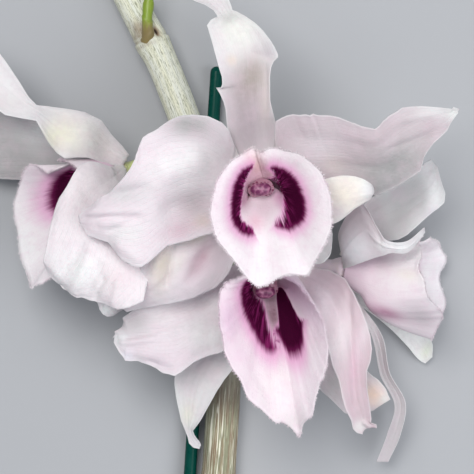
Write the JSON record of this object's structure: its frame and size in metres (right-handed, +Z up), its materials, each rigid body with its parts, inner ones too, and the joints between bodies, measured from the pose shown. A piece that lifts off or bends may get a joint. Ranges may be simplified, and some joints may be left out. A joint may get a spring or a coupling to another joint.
{
  "type": "cut dendrobium orchid cane in bloom",
  "caption": "Cut flowering orchid cane lying on its back, with open trumpet-lipped blooms, forked flower stalks, a young shoot and a thin stake tied underneath.",
  "frame": {"origin": "centre of the bounding box in X and Y, on the surface that the cane lies on", "axes": "+Y along the cane towards its young end, +X to the right as one looks down on the blooms, +Z up from the surface"},
  "size_m": [0.135, 0.1696, 0.0595],
  "materials": {
    "petal": "soft white petal with a faint pink cast",
    "lip": "downy white and pink lip with dark purple blotches in its throat",
    "column": "waxy pale pink",
    "anther": "waxy purple",
    "stalk": "fresh yellow-green stalk",
    "cane": "dry striped sheath, silvery cream on green",
    "shoot": "glossy young green",
    "stake": "smooth dark green coating",
    "tie": "green coated wire"
  },
  "bodies": {
    "root": {"cane": "cane", "young_shoot": "shoot", "stake": "stake", "stake_tie": "tie", "flower_stalk_upper": "stalk", "flower_stalk_lower": "stalk", "front_dorsal_sepal": "petal", "front_petal_left": "petal", "front_petal_right": "petal", "front_lateral_sepal_left": "petal", "front_lateral_sepal_right": "petal", "front_lip": "lip", "front_column": "column", "front_anther_cap": "anther", "lower_dorsal_sepal": "petal", "lower_petal_left": "petal", "lower_petal_right": "petal", "lower_lateral_sepal_left": "petal", "lower_lateral_sepal_right": "petal", "lower_lip": "lip", "lower_column": "column", "lower_anther_cap": "anther", "left_dorsal_sepal": "petal", "left_petal_near": "petal", "left_petal_far": "petal", "left_lateral_sepal_near": "petal", "left_lateral_sepal_far": "petal", "left_lip": "lip", "left_column": "column", "left_anther_cap": "anther", "right_dorsal_sepal": "petal", "right_petal_near": "petal", "right_petal_far": "petal", "right_lateral_sepal_near": "petal", "right_lateral_sepal_far": "petal", "right_lip": "lip", "right_column": "column", "right_anther_cap": "anther"}
  },
  "joints": []
}
